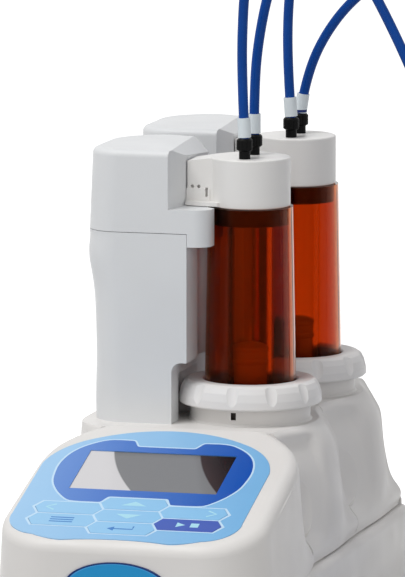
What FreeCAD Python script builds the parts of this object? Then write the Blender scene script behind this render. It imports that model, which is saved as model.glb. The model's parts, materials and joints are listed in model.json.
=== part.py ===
"""Two-channel digital burette: a console with a sloping keypad and display, and two burette units
standing one behind the other on its base.

Frame: millimetres, +X to the right and +Y to the rear as seen from the keypad side, +Z up.
The origin is the middle of the footprint, on the bench.
"""
import FreeCAD, Part
import math
import os

Vec = FreeCAD.Vector
UP = Vec(0, 0, 1)
ALONG_X = Vec(1, 0, 0)
ALONG_Y = Vec(0, 1, 0)

# Base and console
BASE_HALF_WIDTH = 71.0
BASE_HALF_LENGTH = 164.5
FEET_HEIGHT = 4.0
SEAT_Z = 42.0            # top of the base, where the burette units stand
REAR_RIM_Z = 47.0
FRONT_CORNER = 32.0
REAR_CORNER = 16.0
WALL = 3.0
CONSOLE_HALF_WIDTH = 67.5
CONSOLE_WAIST_Y = -84.0  # behind this line the console's flanks draw in
PANEL_SLOPE = 17.4       # degrees
PANEL_X = -3.9           # the panel's origin: the middle of the display's front edge
PANEL_Y = -108.2
PANEL_Z = 89.3
PANEL_RIM = 7.0
PANEL_WALL = 4.0
CONSOLE_SETBACK = 0.3    # of the console's front from the base's
PLATE_TOP_Z = FEET_HEIGHT + 2.0
SCREW_SHANK_R = 1.5
SCREW_HEAD_R = 3.0
FOOT_PLACES = [(x, y) for x in (-52.0, 52.0) for y in (-138.0, 143.0)]
INLET_X = 38.0
INLET_Z = 22.0

# Panel: display, keypad foil, keys and badge
DISPLAY_HALF = 38.3
DISPLAY_BOTTOM = -0.7
DISPLAY_TOP = 41.8
FOIL = 0.5
FOIL_BED = -0.3          # the foil's underside, from the panel plane
KEY_PITCH = 13.1
KEY_SIDE_X = 32.4        # the outer columns of keys
KEY_TOP_Y = -15.3        # the highest key of the middle column
KEY_SIDE_Y = -22.0
KEY_GAP = 0.1
KEY_TRAVEL = 0.6
KEY_PROUD = 0.45
KEY_THICK = 1.6
KEYS = {
    # name: across, up the slope
    "key_up": (0.0, KEY_TOP_Y),
    "key_down": (0.0, KEY_TOP_Y - KEY_PITCH),
    "key_enter": (0.0, KEY_TOP_Y - 2 * KEY_PITCH),
    "key_left": (-KEY_SIDE_X, KEY_SIDE_Y),
    "key_right": (KEY_SIDE_X, KEY_SIDE_Y),
    "key_menu": (-KEY_SIDE_X, KEY_SIDE_Y - KEY_PITCH),
    "key_start": (KEY_SIDE_X, KEY_SIDE_Y - KEY_PITCH),
}
BADGE_HALF_WIDTH = 27.0
BADGE_HALF_HEIGHT = 13.0
BADGE_THICK = 1.4
BADGE_INSET = 0.8
BADGE_X = -1.7
BADGE_Z = 50.0

# Burette units
PITCH = 95.0
AXIS_X = 21.0
FIRST_AXIS_Y = 8.5
HALF_PITCH = PITCH / 2
PARTING_GAP = 0.3        # half the joint between neighbouring mouldings
DECK_Z = 109.4
COLLAR_R = 31.0
COLLAR_TOP_Z = 118.0
SPIGOT_R = 29.4
SPIGOT_TOP_Z = 124.0
RING_TOP_Z = 130.6
RING_R = 36.8
RING_BORE_R = 31.9
RING_FLUTES = 11
FLUTE_R = 5.0
FLUTE_LEAN = 0.4         # how fast the flutes' floor draws in towards the top
LOCK_LUGS = 3
FOOT_GROOVE = 0.7        # height of the shadow gap round a unit's foot
FOOT_INSET = 1.6
GRIP_R = 40.5            # the finger grip's hollow is part of a ball, inside a round outline
GRIP_CENTRE = (93.2, -50.2, 79.0)
GRIP_OUTLINE_R = 18.0
ROOM_LEFT = -55.5        # the room for the drive inside a unit's body
ROOM_RIGHT = 44.0
ROOM_HALF = 41.0
ROOM_NECK_Z = 82.0       # above this the room is narrower, because the flanks draw in
ROOM_NECK_LEFT = -48.0

# Cylinder, its light-proof sleeve and the piston drive
BORE_R = 9.5
GLASS_R = 12.0
SLEEVE_FOOT_R = 23.6
SLEEVE_TOP_R = 21.9
SLEEVE_WALL = 2.0
SLEEVE_TOP_Z = 219.4
HEAD_Z = 220.1
HEAD_TOP_Z = 244.9
HEAD_R = 20.5
GLASS_SEAT_Z = 120.0
GLASS_TOP_Z = 222.0
PISTON_TOP_Z = 149.0
PISTON_LENGTH = 11.0
ROD_R = 8.4
ROD_BOTTOM_Z = 53.0
SCREW_R = 4.0
SCREW_FOOT_Z = 38.0
SCREW_TOP_Z = 133.0      # the nut stays on the screw over the whole stroke
GEAR_MODULE = 1.5
GEAR_TEETH = 40
PINION_TEETH = 12
GEAR_Z = 45.0
GEAR_WIDTH = 5.0
MOTOR_X = AXIS_X - GEAR_MODULE * (GEAR_TEETH + PINION_TEETH) / 2
MOTOR_SHAFT_R = 2.5
MOTOR_HALF = 20.5
MOTOR_HEIGHT = 34.0
PLATE_Z = 54.0           # the steel plate that carries the motor
PLATE_THICK = 3.0

# Valve
PLUG_Y = -2.5            # from the cylinder's axis, midway between the two ports
PLUG_Z = 233.0
PLUG_R = 5.5
PLUG_END_X = 29.5
PORT_YS = (-12.0, 7.0)   # the two hose ports, from the cylinder's axis
PORT_FLOOR_Z = 239.4
PASSAGE_R = 1.0          # the liquid's way through the head and the plug
LUG_LEFT = -9.7          # the head's lug, towards the tower
LUG_FRONT = -10.5
LUG_REAR = 8.0
DOG_X = -9.9             # end of the motor's shaft, where its blade begins
VALVE_MOTOR_R = 11.0

# Tower beside each cylinder
TOWER_LEFT = -56.6
TOWER_SWELL_LEFT = -60.4
TOWER_RIGHT = -4.4
TOWER_FRONT = -32.0      # from the cylinder's axis
TOWER_REAR = 40.0
COVER_Z = 207.8
TOWER_TOP_Z = 250.0
COVER_RIGHT = -10.4      # the cover's right face, beside the valve head
COVER_FALL = 44.4        # degrees, the slope of the cover's top towards the valve head
COVER_ROUNDING = 3.4
BRACKET_Z = 201.0
BRACKET_RIGHT = 7.1

# Hoses and their fittings
HOSE_R = 2.6
HOSE_LYING_Z = 2.8
STEM_R = 2.9
NUT_Z = 248.8
NUT_TOP_Z = 255.4
NUT_R = 4.2
LABEL_TOP_Z = 265.4

# The unit's flank: half width where neighbours meet, and the greatest width beside the cylinder
FLANK_PROFILE = (
    # height, flank at the joint, flank beside the cylinder
    (SEAT_Z, 66.5, 66.5),
    (47.0, 66.4, 67.4),
    (51.5, 65.6, 68.0),
    (55.5, 62.6, 68.4),
    (60.0, 60.4, 68.6),
    (67.0, 58.6, 68.6),
    (78.0, 56.8, 67.5),
    (88.0, 55.9, 65.9),
    (94.0, 54.6, 64.8),
    (100.0, 51.2, 63.2),
    (103.0, 49.4, 61.8),
    (105.5, 47.8, 60.2),
    (108.6, 45.8, 57.2),
    (DECK_Z, 44.6, 56.0),
)

# The arched recess in the front half of a unit's flank: its depth at each height
RECESS_DEPTH = (
    (56.0, 0.0), (60.0, 0.2), (67.0, 0.8), (78.0, 1.4), (84.0, 1.8), (88.0, 2.4), (94.0, 3.8),
    (100.0, 4.2), (103.0, 2.6), (105.5, 0.4), (106.0, 0.0),
)
RECESS_EDGE = (-18.5, -11.0)   # from its full depth to nothing, from the cylinder's axis

HOSE_ROUTES = {
    "hose_1": (
        (21.0, -3.5, 255.4), (20.0, -3.5, 276.0), (19.4, -3.5, 306.0), (21.2, -2.8, 340.4),
        (34.9, -1.0, 356.0), (55.2, 2.0, 360.5), (74.2, 4.0, 352.1), (94.0, 6.0, 317.6),
        (116.0, 9.0, 268.0), (131.0, 10.0, 208.0), (138.0, 9.0, 146.0), (139.0, 5.0, 88.0),
        (137.0, -5.0, 40.0), (136.0, -27.0, 9.0), (138.0, -63.0, HOSE_LYING_Z),
        (141.0, -100.0, HOSE_LYING_Z), (132.0, -134.0, HOSE_LYING_Z),
    ),
    "hose_2": (
        (21.0, 15.5, 255.4), (21.0, 15.5, 275.0), (22.6, 15.6, 301.0), (29.0, 16.0, 333.0),
        (42.0, 17.5, 362.0), (64.0, 20.0, 383.0), (92.0, 22.5, 385.0), (113.0, 25.0, 367.0),
        (121.0, 27.0, 336.0), (125.0, 28.0, 290.0), (127.0, 28.0, 234.0), (128.0, 26.0, 176.0),
        (127.0, 22.0, 118.0), (125.0, 13.0, 66.0), (122.0, -2.0, 27.0), (118.0, -29.0, 6.0),
        (112.0, -63.0, HOSE_LYING_Z), (112.0, -97.0, HOSE_LYING_Z),
    ),
    "hose_3": (
        (21.0, 91.5, 255.4), (19.4, 91.5, 277.0), (18.8, 91.5, 307.0), (22.0, 91.0, 341.0),
        (36.0, 90.0, 370.0), (60.0, 88.0, 389.0), (88.0, 86.0, 385.0), (106.0, 84.0, 362.0),
        (112.0, 82.0, 328.0), (114.0, 80.0, 280.0), (116.0, 76.0, 222.0), (116.0, 71.0, 164.0),
        (115.0, 64.0, 106.0), (113.0, 54.0, 58.0), (110.0, 37.0, 22.0), (106.0, 9.0, 5.0),
        (101.0, -23.0, HOSE_LYING_Z), (96.0, -54.0, HOSE_LYING_Z),
    ),
    "hose_4": (
        (21.0, 110.5, 255.4), (23.6, 110.5, 272.0), (32.5, 111.0, 295.0), (49.0, 112.5, 317.0),
        (74.0, 114.5, 334.0), (103.0, 116.0, 336.0), (127.0, 117.0, 319.0), (139.0, 117.0, 288.0),
        (145.0, 116.0, 240.0), (149.0, 114.0, 184.0), (152.0, 110.0, 128.0), (153.0, 103.0, 76.0),
        (153.0, 89.0, 34.0), (152.0, 62.0, 8.0), (150.0, 27.0, HOSE_LYING_Z),
        (153.0, -6.0, HOSE_LYING_Z),
    ),
}


def box(x0, x1, y0, y1, z0, z1):
    return Part.makeBox(x1 - x0, y1 - y0, z1 - z0, Vec(x0, y0, z0))


def rod(radius, z0, z1, x=0.0, y=0.0):
    return Part.makeCylinder(radius, z1 - z0, Vec(x, y, z0), UP)


def rod_along(radius, start, direction, length):
    return Part.makeCylinder(radius, length, start, direction)


def ring(outer, inner, z0, z1, x=0.0, y=0.0):
    return rod(outer, z0, z1, x, y).cut(rod(inner, z0 - 1, z1 + 1, x, y))


def line(a, b):
    return Part.LineSegment(a, b).toShape()


def arc(a, middle, b):
    return Part.Arc(a, middle, b).toShape()


def closed_wire(points):
    return Part.makePolygon(list(points) + [points[0]])


def prism(points, z0, z1):
    corners = [Vec(x, y, z0) for x, y in points]
    return Part.Face(closed_wire(corners)).extrude(Vec(0, 0, z1 - z0))


def turned(profile):
    """Solid of revolution about Z from (radius, height) points."""
    face = Part.Face(closed_wire([Vec(r, 0, z) for r, z in profile]))
    return face.revolve(Vec(0, 0, 0), UP, 360)


def rounded_outline(x0, x1, y0, y1, front, rear, z):
    """Rectangle at height z whose front and rear corners are rounded."""
    k = 1 - math.sqrt(0.5)
    corners = (
        (Vec(x1 - front, y0, z), Vec(x1 - k * front, y0 + k * front, z), Vec(x1, y0 + front, z)),
        (Vec(x1, y1 - rear, z), Vec(x1 - k * rear, y1 - k * rear, z), Vec(x1 - rear, y1, z)),
        (Vec(x0 + rear, y1, z), Vec(x0 + k * rear, y1 - k * rear, z), Vec(x0, y1 - rear, z)),
        (Vec(x0, y0 + front, z), Vec(x0 + k * front, y0 + k * front, z), Vec(x0 + front, y0, z)),
    )
    edges = []
    for index, corner in enumerate(corners):
        edges.append(arc(*corner))
        edges.append(line(corner[2], corners[(index + 1) % 4][0]))
    return Part.Wire(edges)


def rounded_block(x0, x1, y0, y1, front, rear, z0, z1):
    outline = rounded_outline(x0, x1, y0, y1, front, rear, z0)
    return Part.Face(outline).extrude(Vec(0, 0, z1 - z0))


def spline(points):
    curve = Part.BSplineCurve()
    curve.interpolate(points)
    return curve.toShape()


def moved(shape, x=0.0, y=0.0, z=0.0):
    copy = shape.copy()
    copy.translate(Vec(x, y, z))
    return copy


def spun(shape, degrees, x=0.0, y=0.0):
    copy = shape.copy()
    copy.rotate(Vec(x, y, 0), UP, degrees)
    return copy


def fused(shapes):
    """Union of the shapes, with a message if one of them was lost from it."""
    shapes = list(shapes)
    result = shapes[0].multiFuse(shapes[1:]).removeSplitter()
    reach = result.BoundBox
    reach.enlarge(0.5)
    for shape in shapes:
        if not all(reach.isInside(vertex.Point) for vertex in shape.Vertexes):
            print("a union lost a piece")
    return result


def group(shapes):
    return Part.makeCompound(list(shapes))


def on_panel(shape):
    """From panel coordinates (across, up the slope, out of the panel) to the real place."""
    copy = shape.copy()
    copy.rotate(Vec(0, 0, 0), ALONG_X, PANEL_SLOPE)
    copy.translate(Vec(PANEL_X, PANEL_Y, PANEL_Z))
    return copy


def edges_where(shape, test):
    return [edge for edge in shape.Edges if test(edge.BoundBox)]


def softened(shape, edges, radius):
    """Round the edges; where that cannot be done they stay sharp, with a message."""
    try:
        result = shape.makeFillet(radius, edges)
        if result.isValid() and result.Volume > 0:
            return result
    except Exception:
        pass
    print("a fillet of", radius, "was left out")
    return shape


# Base and console

def flank_at(z):
    """The flank's two widths at a height, between the rows of the profile."""
    rows = FLANK_PROFILE
    if z <= rows[0][0]:
        return rows[0][1:]
    for low, high in zip(rows, rows[1:]):
        if z <= high[0]:
            share = (z - low[0]) / (high[0] - low[0])
            return tuple(a + share * (b - a) for a, b in zip(low[1:], high[1:]))
    return rows[-1][1:]


def console_outline(z):
    """Plan of the console at a height: straight sides that draw in towards the first unit."""
    wide = min(CONSOLE_HALF_WIDTH + (92.0 - z) * 0.06, BASE_HALF_WIDTH - 0.2)
    wide = min(wide, CONSOLE_HALF_WIDTH + 2.5)
    narrow = min(flank_at(z)[0], wide)
    rear = FIRST_AXIS_Y - HALF_PITCH - PARTING_GAP
    front = -BASE_HALF_LENGTH + CONSOLE_SETBACK
    steps = 5
    flank = []
    for index in range(steps + 1):
        share = index / steps
        y = CONSOLE_WAIST_Y + share * (rear - CONSOLE_WAIST_Y)
        flank.append((wide - (wide - narrow) * share ** 2.4, y))
    k = 1 - math.sqrt(0.5)
    c = FRONT_CORNER
    right = [Vec(x, y, z) for x, y in flank]
    left = [Vec(-x, y, z) for x, y in reversed(flank)]
    corner_right = arc(
        Vec(wide - c, front, z),
        Vec(wide - k * c, front + k * c, z),
        Vec(wide, front + c, z),
    )
    corner_left = arc(
        Vec(-wide, front + c, z),
        Vec(-wide + k * c, front + k * c, z),
        Vec(-wide + c, front, z),
    )
    return Part.Wire([
        line(Vec(-wide + c, front, z), Vec(wide - c, front, z)),
        corner_right,
        line(Vec(wide, front + c, z), right[0]),
        spline(right),
        line(right[-1], left[0]),
        spline(left),
        line(left[-1], Vec(-wide, front + c, z)),
        corner_left,
    ])


def panel_height(y):
    return PANEL_Z + (y - PANEL_Y) * math.tan(math.radians(PANEL_SLOPE))


def on_rim(bounds):
    """Whether an edge with these bounds lies in the panel plane, at the console's rim."""
    low = abs(bounds.ZMin - panel_height(bounds.YMin))
    high = abs(bounds.ZMax - panel_height(bounds.YMax))
    return bounds.ZMin > 62 and low < 0.3 and high < 0.3


def above_panel(offset):
    """Everything above the panel plane moved out by offset."""
    return on_panel(box(-200, 200, -150, 250, offset, offset + 200))


def console_body():
    heights = (30.0, SEAT_Z, 50.0, 56.0, 61.0, 68.0, 78.0, 88.0, 94.0, 100.0, 105.5, 112.0)
    body = Part.makeLoft([console_outline(z) for z in heights], True, False)
    body = body.cut(above_panel(0.0))
    rear = FIRST_AXIS_Y - HALF_PITCH - PARTING_GAP
    body = softened(body, edges_where(body, lambda b: on_rim(b) and b.YMin < rear - 1), PANEL_RIM)
    return softened(body, edges_where(body, lambda b: on_rim(b) and b.YMin > rear - 0.1), 1.4)


def lower_base():
    base = rounded_block(
        -BASE_HALF_WIDTH, BASE_HALF_WIDTH, -BASE_HALF_LENGTH, BASE_HALF_LENGTH,
        FRONT_CORNER, REAR_CORNER, FEET_HEIGHT, SEAT_Z,
    )
    shoulder = edges_where(base, lambda b: b.ZMin > SEAT_Z - 0.1)
    return softened(base, shoulder, 4.4)


def rear_rim():
    joint = FIRST_AXIS_Y + 1.5 * PITCH + PARTING_GAP
    rim = rounded_block(
        -66.5, 66.5, joint - 60, BASE_HALF_LENGTH - 1.0, 12.0, 12.0, SEAT_Z - 6, REAR_RIM_Z,
    )
    rim = softened(rim, edges_where(rim, lambda b: b.ZMin > REAR_RIM_Z - 0.1), 3.0)
    return rim.cut(box(-80, 80, joint - 70, joint, SEAT_Z - 10, REAR_RIM_Z + 5))


def base_cavity():
    inside = rounded_block(
        -BASE_HALF_WIDTH + WALL, BASE_HALF_WIDTH - WALL, -BASE_HALF_LENGTH + WALL,
        BASE_HALF_LENGTH - WALL, FRONT_CORNER - WALL, REAR_CORNER - WALL, FEET_HEIGHT - 1,
        SEAT_Z - 6,
    )
    return fused([inside, console_room()])


def console_room():
    """Hollow under the panel, narrower behind the waist, where the console's flanks draw in."""
    front = box(-58, 58, -BASE_HALF_LENGTH + 14, CONSOLE_WAIST_Y, SEAT_Z - 8, DECK_Z)
    rear = box(-47, 47, CONSOLE_WAIST_Y - 1, -48, SEAT_Z - 8, DECK_Z)
    return fused([front, rear]).cut(above_panel(-PANEL_WALL))


def hexagon(half_flat, half_height, tip, across, up):
    """A key's six-sided outline, pointed to both sides."""
    return (
        (across - half_flat, up - half_height), (across + half_flat, up - half_height),
        (across + tip, up), (across + half_flat, up + half_height),
        (across - half_flat, up + half_height), (across - tip, up),
    )


def key_outline(name, shrink):
    across, up = KEYS[name]
    flat = 14.3 - shrink
    return hexagon(flat, KEY_PITCH / 2 - 0.35 - shrink, flat + 3.4 - shrink, across, up)


def key(name):
    pad = prism(key_outline(name, KEY_GAP + 0.1), KEY_PROUD - KEY_THICK, KEY_PROUD)
    top = edges_where(pad, lambda b: b.ZMin > KEY_PROUD - 0.05)
    return on_panel(softened(pad, top, 0.2))


def key_pockets():
    floor = KEY_PROUD - KEY_THICK - KEY_TRAVEL - 0.1
    return [prism(key_outline(name, 0.1), floor, 3.0) for name in KEYS]


def overlay_outline(z, grow=0.0):
    """Outline of the keypad foil: an arched top, round lower corners and a waved lower edge."""
    g = grow

    def p(x, y):
        return Vec(x, y, z)

    return Part.Wire([
        line(p(59.3 + g, -30), p(59.3 + g, 25)),
        arc(p(59.3 + g, 25), p(52.4 + g, 43 + g), p(38.5 + g, 55.6 + g)),
        arc(p(38.5 + g, 55.6 + g), p(0, 66.6 + g), p(-38.5 - g, 55.6 + g)),
        arc(p(-38.5 - g, 55.6 + g), p(-52.4 - g, 43 + g), p(-59.3 - g, 25)),
        line(p(-59.3 - g, 25), p(-59.3 - g, -30)),
        arc(p(-59.3 - g, -30), p(-55.6 - g, -43.8 - g), p(-43 - g, -51.2 - g)),
        arc(p(-43 - g, -51.2 - g), p(-36, -54.2 - g), p(-28, -55.6 - g)),
        arc(p(-28, -55.6 - g), p(0, -53.4 - g), p(28, -55.6 - g)),
        arc(p(28, -55.6 - g), p(36, -54.2 - g), p(43 + g, -51.2 - g)),
        arc(p(43 + g, -51.2 - g), p(55.6 + g, -43.8 - g), p(59.3 + g, -30)),
    ])


def keypad_overlay():
    foil = Part.Face(overlay_outline(FOIL_BED)).extrude(Vec(0, 0, FOIL))
    window = box(-DISPLAY_HALF, DISPLAY_HALF, DISPLAY_BOTTOM, DISPLAY_TOP, -2, 2)
    holes = [prism(key_outline(name, 0.1), -2.0, 2.0) for name in KEYS]
    return on_panel(foil.cut(window).cut(group(holes)))


def display_hole():
    return box(-DISPLAY_HALF - 4, DISPLAY_HALF + 4, DISPLAY_BOTTOM - 3.5, DISPLAY_TOP + 4, -30, 3)


def lcd_module():
    glass = box(-DISPLAY_HALF + 0.1, DISPLAY_HALF - 0.1, DISPLAY_BOTTOM + 0.1,
                DISPLAY_TOP - 0.1, -3.0, -0.1)
    frame = box(-DISPLAY_HALF - 3.8, DISPLAY_HALF + 3.8, DISPLAY_BOTTOM - 3.3,
                DISPLAY_TOP + 3.8, -PANEL_WALL, -0.3)
    board = box(-DISPLAY_HALF - 4.5, DISPLAY_HALF + 4.5, DISPLAY_BOTTOM - 8, DISPLAY_TOP + 8,
                -PANEL_WALL - 1.6, -PANEL_WALL)
    return on_panel(fused([glass, frame, board]))


def badge_outline(grow):
    """The oval badge's solid before it is set on the front face, standing up along Z."""
    oval = Part.Ellipse(Vec(0, 0, 0), BADGE_HALF_WIDTH + grow, BADGE_HALF_HEIGHT + grow)
    solid = Part.Face(Part.Wire(oval.toShape())).extrude(Vec(0, 0, BADGE_THICK))
    solid.rotate(Vec(0, 0, 0), ALONG_X, 90)
    solid.translate(Vec(BADGE_X, -BASE_HALF_LENGTH + BADGE_INSET, BADGE_Z))
    return solid


def badge_plate():
    return badge_outline(0.0)


def power_inlet():
    """Low-voltage socket in the rear wall."""
    rear = Vec(INLET_X, BASE_HALF_LENGTH + 0.8, INLET_Z)
    flange = rod_along(6.5, rear, -ALONG_Y, 0.8)
    barrel = rod_along(5.0, rear, -ALONG_Y, 14.0)
    hole = rod_along(3.0, rear + Vec(0, 1, 0), -ALONG_Y, 11.0)
    pin = rod_along(0.8, rear - Vec(0, 1, 0), -ALONG_Y, 12.0)
    return fused([flange, barrel]).cut(hole).fuse(pin)


def base_housing():
    body = fused([lower_base(), console_body(), rear_rim()])
    body = body.cut(base_cavity())
    foil_seat = on_panel(Part.Face(overlay_outline(FOIL_BED, 0.15)).extrude(Vec(0, 0, 12)))
    pockets = [on_panel(pocket) for pocket in key_pockets()]
    body = body.cut(foil_seat).cut(on_panel(display_hole())).cut(group(pockets))
    body = body.cut(badge_outline(0.1))
    inlet = rod_along(5.05, Vec(INLET_X, BASE_HALF_LENGTH + 5, INLET_Z), -ALONG_Y, 20)
    screws = [rod_along(SCREW_SHANK_R, Vec(x, y, 0), UP, 14) for x, y in plate_screw_places()]
    bosses = [rod(4.0, PLATE_TOP_Z, SEAT_Z - 5, x, y) for x, y in plate_screw_places()]
    bearings = [rod(SCREW_R - 0.95, SCREW_FOOT_Z - 0.05, SEAT_Z + 1, AXIS_X, unit_y(index))
                for index in range(2)]
    body = body.cut(inlet).cut(group(bearings))
    return fused([body] + bosses).cut(group(screws))


def plate_screw_places():
    return [(x, y) for x in (-58.0, 58.0) for y in (-118.0, 0.0, 122.0)]


def plate_screws():
    screws = []
    for x, y in plate_screw_places():
        head = rod(SCREW_HEAD_R, FEET_HEIGHT - 0.6, FEET_HEIGHT + 0.9, x, y)
        slot = box(x - 2.4, x + 2.4, y - 0.4, y + 0.4, FEET_HEIGHT - 1, FEET_HEIGHT - 0.1)
        screws.append(head.fuse(rod(SCREW_SHANK_R, FEET_HEIGHT, 14, x, y)).cut(slot))
    return group(screws)


def base_plate():
    plate = rounded_block(
        -BASE_HALF_WIDTH + WALL + 0.2, BASE_HALF_WIDTH - WALL - 0.2, -BASE_HALF_LENGTH + WALL + 0.2,
        BASE_HALF_LENGTH - WALL - 0.2, FRONT_CORNER - WALL, REAR_CORNER - WALL, FEET_HEIGHT,
        PLATE_TOP_Z,
    )
    holes = [rod(SCREW_SHANK_R, 0, 20, x, y) for x, y in plate_screw_places()]
    sinks = [rod(SCREW_HEAD_R + 0.01, 0, FEET_HEIGHT + 0.9, x, y) for x, y in plate_screw_places()]
    return plate.cut(group(holes)).cut(group(sinks))


def feet():
    foot = turned([(0, 0), (7.0, 0), (8.5, 1.0), (8.0, FEET_HEIGHT), (0, FEET_HEIGHT)])
    return group(moved(foot, x, y) for x, y in FOOT_PLACES)


def control_board():
    """The main board on four posts above the base plate, with its largest components."""
    board_z = PLATE_TOP_Z + 6.0
    board = box(-50, 46, -104, -24, board_z, board_z + 1.6)
    posts = [rod(2.5, PLATE_TOP_Z, board_z, x, y) for x in (-46, 42) for y in (-100, -28)]
    processor = box(-14, 4, -70, -52, board_z + 1.6, board_z + 3.4)
    connector = box(-40, -12, -98, -90, board_z + 1.6, board_z + 8.0)
    capacitors = [rod(5.0, board_z + 1.6, board_z + 14, x, -40) for x in (14, 28)]
    return fused([board, processor, connector] + posts + capacitors)


# Burette unit: the moulded body

def recess_at(y, z):
    """How deep the flank's arched recess is at a place."""
    depth = 0.0
    for low, high in zip(RECESS_DEPTH, RECESS_DEPTH[1:]):
        if low[0] <= z <= high[0]:
            depth = low[1] + (z - low[0]) / (high[0] - low[0]) * (high[1] - low[1])
    full, end = RECESS_EDGE
    share = min(max((end - y) / (end - full), 0.0), 1.0)
    return depth * share * share * (3 - 2 * share)


def unit_outline(z):
    """Plan of a unit's body at a height: each flank swells beside the cylinder."""
    joint, middle = flank_at(z)
    half = HALF_PITCH - PARTING_GAP
    steps = 28
    right = []
    left = []
    for index in range(steps + 1):
        y = -half + 2 * half * index / steps
        swell = math.cos(math.pi / 2 * y / half) ** 2
        broad = 1 - (y / half) ** 6
        recess = recess_at(y, z)
        right.append(Vec(joint + (middle - joint) * swell - recess, y, z))
        left.append(Vec(-joint - (max(joint, 61.6) - joint) * broad, y, z))
    left.reverse()
    return Part.Wire([
        line(left[-1], right[0]),
        spline(right),
        line(right[-1], left[0]),
        spline(left),
    ])


def finger_grip():
    """Leaf-shaped hollow at the front of the right flank, steepest at its lower end."""
    ball = Part.makeSphere(GRIP_R, Vec(*GRIP_CENTRE))
    return ball.common(rod_along(GRIP_OUTLINE_R, Vec(30.0, -44.5, 74.5), ALONG_X, 60.0))


def foot_grooves():
    """The shadow gap between a unit's foot and the base, along both flanks."""
    inner = 66.5 - FOOT_INSET
    return [box(x, x + 20, -60, 60, SEAT_Z - 1, SEAT_Z + FOOT_GROOVE) for x in (inner, -inner - 20)]


def lock_lug_angles(start):
    return [start + 360 / LOCK_LUGS * index for index in range(LOCK_LUGS)]


def sector(outer, inner, z0, z1, middle_angle, width):
    """Part of a ring, width degrees wide."""
    piece = Part.makeCylinder(outer, z1 - z0, Vec(0, 0, z0), UP, width)
    piece = piece.cut(rod(inner, z0 - 1, z1 + 1))
    return spun(piece, middle_angle - width / 2)


def collar():
    """Round seat for the cylinder unit, with three bayonet lugs under the lock ring."""
    seat = turned([
        (0, DECK_Z - 12), (COLLAR_R + 1.0, DECK_Z - 12), (COLLAR_R + 1.0, DECK_Z),
        (COLLAR_R, DECK_Z + 1.2), (COLLAR_R, COLLAR_TOP_Z - 0.4), (COLLAR_R - 0.4, COLLAR_TOP_Z),
        (SPIGOT_R, COLLAR_TOP_Z), (SPIGOT_R, SPIGOT_TOP_Z), (0, SPIGOT_TOP_Z),
    ])
    lugs = [sector(SPIGOT_R + 2.0, SPIGOT_R - 1, 121.4, 123.4, angle, 24)
            for angle in lock_lug_angles(-30)]
    notch = box(-2.2, 0.5, -COLLAR_R - 1, -COLLAR_R + 2.5, 112.7, 116.5)
    return moved(fused([seat] + lugs).cut(notch), AXIS_X)


def unit_cavity():
    """Room for the drive under the deck, open to the base."""
    low = box(ROOM_LEFT, ROOM_RIGHT, -ROOM_HALF, ROOM_HALF, SEAT_Z - 1, ROOM_NECK_Z)
    high = box(ROOM_NECK_LEFT, ROOM_RIGHT, -ROOM_HALF, ROOM_HALF, ROOM_NECK_Z - 1, DECK_Z - 8)
    gear_room = rod(35.0, SEAT_Z - 1, PLATE_Z, AXIS_X, 0)
    return fused([low, high, gear_room])


def unit_body():
    body = Part.makeLoft([unit_outline(row[0]) for row in FLANK_PROFILE], True, False)
    body = body.cut(finger_grip()).cut(group(foot_grooves()))
    body = fused([body, collar()]).cut(unit_cavity())
    rod_way = rod(ROD_R + 0.08, DECK_Z - 30, SPIGOT_TOP_Z + 1, AXIS_X, 0)
    glass_seat = rod(GLASS_R + 0.05, GLASS_SEAT_Z, SPIGOT_TOP_Z + 1, AXIS_X, 0)
    cable_way = rod(9.0, DECK_Z - 20, DECK_Z + 5, -36, 18)
    return body.cut(rod_way).cut(glass_seat).cut(cable_way)


# Burette unit: tower

def tower_outline(z, left):
    """D-shaped plan of the tower: flat front, round back."""
    front, rear = TOWER_FRONT, TOWER_REAR
    right = TOWER_RIGHT

    def p(x, y):
        return Vec(x, y, z)

    return Part.Wire([
        line(p(left + 18, front), p(right, front)),
        line(p(right, front), p(right, 22)),
        arc(p(right, 22), p(right - 5.5, 33), p(right - 17, 37)),
        arc(p(right - 17, 37), p(left + 26, rear), p(left + 13, 35)),
        arc(p(left + 13, 35), p(left + 3.6, 25), p(left, 12)),
        line(p(left, 12), p(left, front + 18)),
        arc(p(left, front + 18), p(left + 5.3, front + 5.3), p(left + 18, front)),
    ])


def tower_loft(levels):
    return Part.makeLoft([tower_outline(z, left) for z, left in levels], True, False)


def cradle(radius, z0, z1):
    """The round space that clears the amber sleeve."""
    return rod(radius, z0, z1, AXIS_X, 0)


def tower_shell():
    levels = (
        (DECK_Z, TOWER_LEFT), (150.0, TOWER_LEFT), (165.0, TOWER_LEFT - 0.4),
        (172.0, TOWER_LEFT - 0.8), (180.0, TOWER_LEFT - 1.6), (186.0, TOWER_SWELL_LEFT + 1.2),
        (192.0, TOWER_SWELL_LEFT + 0.2), (198.0, TOWER_SWELL_LEFT),
        (COVER_Z - 0.3, TOWER_SWELL_LEFT + 0.3),
    )
    shell = tower_loft(levels)
    inner = box(TOWER_LEFT + 6, TOWER_RIGHT - 16.5, TOWER_FRONT + 5, TOWER_REAR - 12, DECK_Z - 1,
                COVER_Z + 1)
    corners = edges_where(inner, lambda b: b.ZLength > 50)
    shell = shell.cut(softened(inner, corners, 8.0))
    shell = shell.cut(cradle(27.6, DECK_Z - 1, COVER_Z + 1))
    shell = shell.cut(ring_notch())
    pads = [box(x, x + 3.0, -10, 10, COVER_Z - 2, COVER_Z) for x in (-55.5, -16.0)]
    return fused([shell] + pads)


def ring_notch():
    """Clearance for the lock ring, rounded at its upper corner."""
    notch = box(-12.4, 20, TOWER_FRONT - 5, TOWER_REAR + 5, DECK_Z - 1, 141.2)
    corner = edges_where(notch, lambda b: b.XMax < -12.3 and b.ZMin > 141)
    notch = softened(notch, corner, 5.0)
    return notch.fuse(rod(38.2, DECK_Z - 1, 134.0, AXIS_X, 0))


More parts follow.
